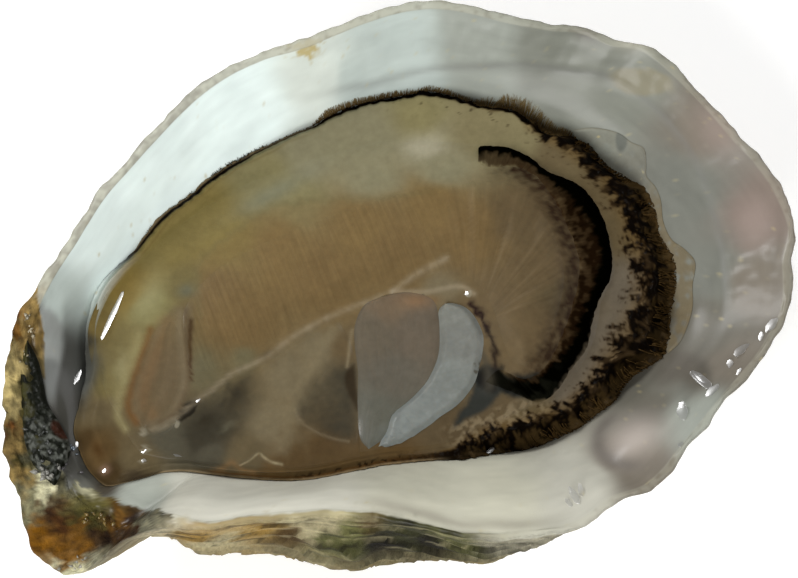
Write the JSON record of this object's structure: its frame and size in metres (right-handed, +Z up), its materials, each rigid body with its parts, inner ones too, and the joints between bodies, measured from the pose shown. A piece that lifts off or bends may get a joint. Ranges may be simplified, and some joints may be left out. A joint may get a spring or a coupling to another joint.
{
  "type": "oyster on the half shell",
  "caption": "Opened raw oyster lying in its cupped lower valve, with a pearly inside, a frilled dark mantle edge and a rough layered outside.",
  "frame": {"origin": "on the table, under the middle of the whole part's bounding box", "axes": "+X from the hinge to the bill along the valve's length, +Y across it, +Z up out of the cup"},
  "size_m": [0.1004, 0.0694, 0.0276],
  "materials": {
    "shell": "pearly and wet inside, rough and layered outside",
    "hinge_ligament": "dark, torn and fibrous",
    "mantle": "wet, with a near-black frilled edge",
    "mantle_band": "wet, black to brown",
    "gills": "wet, finely striated",
    "viscera": "wet, olive and translucent",
    "palps": "wet and smooth",
    "pericardium": "wet, dark and translucent",
    "quick_muscle": "wet, grey and translucent",
    "catch_muscle": "wet, bluish white and fibrous"
  },
  "bodies": {
    "root": {"shell": "shell", "hinge_ligament": "hinge_ligament", "lower_mantle": "mantle", "upper_mantle": "mantle_band", "gills": "gills", "visceral_mass": "viscera", "labial_palps": "palps", "pericardium": "pericardium", "adductor_quick": "quick_muscle", "adductor_catch": "catch_muscle"}
  },
  "joints": []
}
